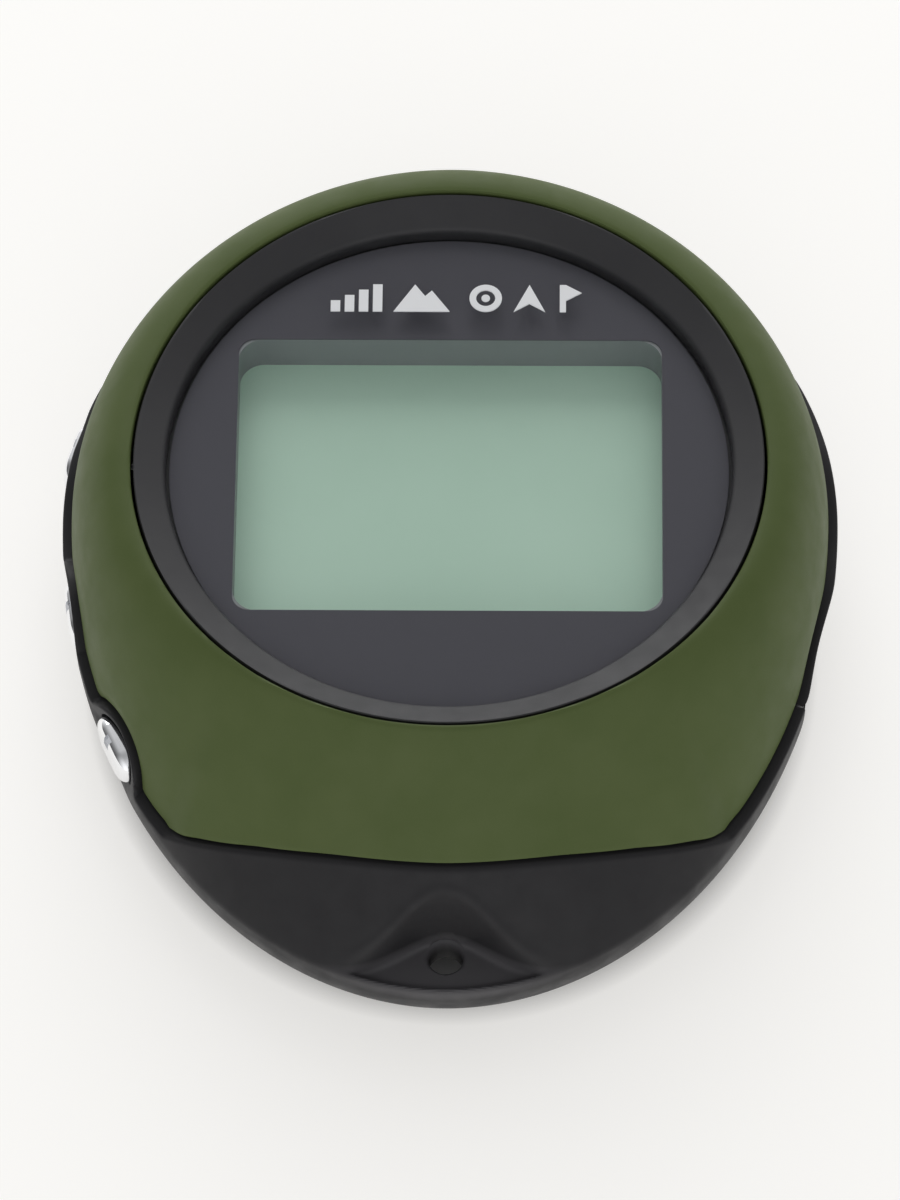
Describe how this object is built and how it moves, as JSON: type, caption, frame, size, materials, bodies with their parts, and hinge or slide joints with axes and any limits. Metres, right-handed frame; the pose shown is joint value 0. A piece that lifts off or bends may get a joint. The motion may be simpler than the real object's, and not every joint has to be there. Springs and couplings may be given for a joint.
{
  "type": "handheld gps unit",
  "caption": "Pocket navigation unit: round thick body, screen under a flat round lens in a conical bezel, side keys, covered port, lanyard hole in the chin.",
  "frame": {"origin": "on the flat back, on the middle line x = 0, 5 mm below the lens centre towards the chin", "axes": "+Z out of the display, +Y to the top of the unit away from the chin, +X to the unit's right seen from the display side"},
  "size_m": [0.0694, 0.0799, 0.0254],
  "materials": {
    "green_shell": "satin soft-touch paint over moulded plastic",
    "black_housing": "fine matt moulded plastic",
    "bezel": "satin black moulding",
    "lens": "clear polished window",
    "mask_ink": "black ink printed on the back of the lens",
    "silver_ink": "silver print",
    "shroud": "grey moulding",
    "display_film": "grey-green polariser film",
    "display_glass": "display pane",
    "chip": "black moulded package",
    "flex": "amber film",
    "white_plastic": "off-white moulding",
    "board": "green solder mask on glass laminate",
    "antenna": "fired ceramic block",
    "gold": "gold plate",
    "can": "tinned sheet steel",
    "parts": "small ceramic parts",
    "cell": "foil pouch",
    "foam": "adhesive foam",
    "red_wire": "red insulation",
    "black_wire": "black insulation",
    "chrome_key": "bright chrome plate",
    "plunger": "black plastic",
    "steel": "plated steel",
    "soft_black": "soft matt rubber",
    "label": "blank matt film"
  },
  "bodies": {
    "body": {"front_shell": "green_shell", "rear_housing": "black_housing", "shell_gasket": "soft_black", "bezel_ring": "bezel", "lens_window": "lens", "lens_mask": "mask_ink", "lens_adhesive": "foam", "direction_mark": "silver_ink", "window_shroud": "shroud", "lcd_front_polariser": "display_film", "lcd_front_glass": "display_glass", "lcd_rear_glass": "display_glass", "lcd_rear_polariser": "display_film", "lcd_driver_chip": "chip", "lcd_flex": "flex", "flex_connector": "white_plastic", "backlight_panel": "white_plastic", "lcd_carrier": "white_plastic", "main_pcb": "board", "gps_patch_antenna": "antenna", "antenna_feed_pin": "gold", "gps_module_can": "can", "mcu_chip": "chip", "pcb_small_parts": "parts", "battery": "cell", "battery_pad": "foam", "battery_lead_red": "red_wire", "battery_lead_black": "black_wire", "battery_plug": "white_plastic", "battery_header": "white_plastic", "switch_power": "can", "switch_mark": "can", "switch_mode": "can", "usb_shell": "can", "usb_tongue": "chip", "rear_screws": "steel", "pcb_screws": "steel", "rear_label": "label"},
    "power_button": {"key_power": "chrome_key", "plunger_power": "plunger"},
    "mark_button": {"key_mark": "chrome_key", "plunger_mark": "plunger"},
    "mode_button": {"key_mode": "chrome_key", "plunger_mode": "plunger"},
    "port_cover": {"usb_cover": "soft_black"}
  },
  "joints": [
    {"name": "power_press", "type": "slide", "parent": "body", "child": "power_button", "axis": [0.9618, -0.2736, 0], "range_m": [0, 0.00035], "stiffness_N_per_m": 4000},
    {"name": "mark_press", "type": "slide", "parent": "body", "child": "mark_button", "axis": [0.9887, 0.15, 0], "range_m": [0, 0.00035], "stiffness_N_per_m": 4000},
    {"name": "mode_press", "type": "slide", "parent": "body", "child": "mode_button", "axis": [0.9143, 0.4049, 0], "range_m": [0, 0.00035], "stiffness_N_per_m": 4000},
    {"name": "port_cover_hinge", "type": "hinge", "parent": "body", "child": "port_cover", "pos_m": [0.03072, -0.01072, 0.00835], "axis": [0, 0, -1], "range_deg": [0, 100]}
  ]
}
